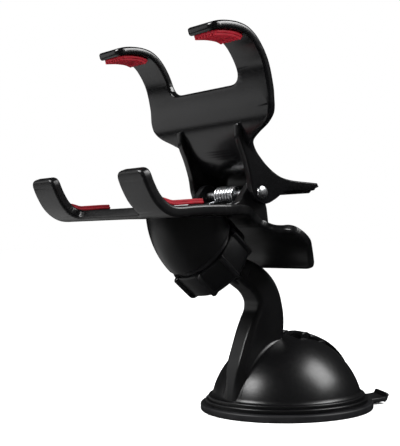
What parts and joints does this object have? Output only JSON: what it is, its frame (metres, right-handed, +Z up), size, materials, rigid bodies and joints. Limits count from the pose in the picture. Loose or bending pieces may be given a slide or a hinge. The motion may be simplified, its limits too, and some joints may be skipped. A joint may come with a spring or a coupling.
{
  "type": "car phone mount",
  "caption": "Car phone mount: a sprung clip with paired fingers and red pads, on a ball joint with a lock nut, an S-shaped arm and a lever suction base.",
  "frame": {"origin": "centre of the suction base, on the surface that it sticks to", "axes": "+Z up, away from that surface; -Y to the front, the side that the phone faces; +X to the right of someone who faces the phone and looks along +Y; the clip is symmetric about X = 0"},
  "size_m": [0.066, 0.1248, 0.1331],
  "materials": {
    "black_plastic": "satin moulded plastic with a fine grain",
    "gloss_plastic": "polished moulded plastic",
    "black_rubber": "smooth soft rubber",
    "red_rubber": "matt soft rubber",
    "steel": "turned and plated",
    "nylon": "black nylon with a waxy sheen"
  },
  "bodies": {
    "root": {"suction_disc": "black_rubber", "suction_membrane": "black_rubber", "base_ring": "black_plastic", "base_dome": "black_plastic", "ring_screws": "steel", "arm": "black_plastic", "arm_screw": "steel", "ball": "gloss_plastic"},
    "stem": {"pull_stem": "nylon"},
    "lever": {"lock_lever": "black_plastic", "lever_pin": "steel"},
    "seat": {"seat_cup": "nylon"},
    "ring": {"friction_ring": "black_rubber"},
    "clip": {"socket_housing": "black_plastic", "lower_jaw": "black_plastic", "housing_screws": "steel", "lower_pad_left": "red_rubber", "lower_pad_right": "red_rubber", "closing_spring": "steel"},
    "nut": {"lock_nut": "black_plastic"},
    "jaw": {"upper_jaw": "gloss_plastic", "upper_pad_left": "red_rubber", "upper_pad_right": "red_rubber", "pivot_pin": "steel", "pin_cap": "steel"}
  },
  "joints": [
    {"name": "stem_slide", "type": "slide", "parent": "root", "child": "stem", "axis": [0, 0, 1], "range_m": [-0.003, 0], "deforming": ["suction_membrane"]},
    {"name": "lever_swing", "type": "hinge", "parent": "stem", "child": "lever", "pos_m": [0, 0.0032, 0.0252], "axis": [1, 0, 0], "range_deg": [0, 90]},
    {"name": "ball_tilt", "type": "hinge", "parent": "root", "child": "seat", "pos_m": [0, -0.0353, 0.0564], "axis": [1, 0, 0], "range_deg": [0, 48]},
    {"name": "ball_sway", "type": "hinge", "parent": "seat", "child": "ring", "pos_m": [0, -0.0353, 0.0564], "axis": [0, 0.6494, 0.7604], "range_deg": [-10, 10]},
    {"name": "ball_spin", "type": "hinge", "parent": "ring", "child": "clip", "pos_m": [0, -0.0353, 0.0564], "axis": [0, 0.7604, -0.6494], "range_deg": [-16, 16]},
    {"name": "nut_turn", "type": "hinge", "parent": "clip", "child": "nut", "pos_m": [0, -0.0353, 0.0564], "axis": [0, 0.7604, -0.6494], "range_deg": [-30, 90]},
    {"name": "jaw_pivot", "type": "hinge", "parent": "clip", "child": "jaw", "pos_m": [0, -0.0263, 0.0793], "axis": [1, 0, 0], "range_deg": [-25, 45], "stiffness_Nm_per_rad": 0.25}
  ],
  "couplings": [
    {"joint": "lever_swing", "follows": "stem_slide", "rad_per_m": -523.6}
  ]
}
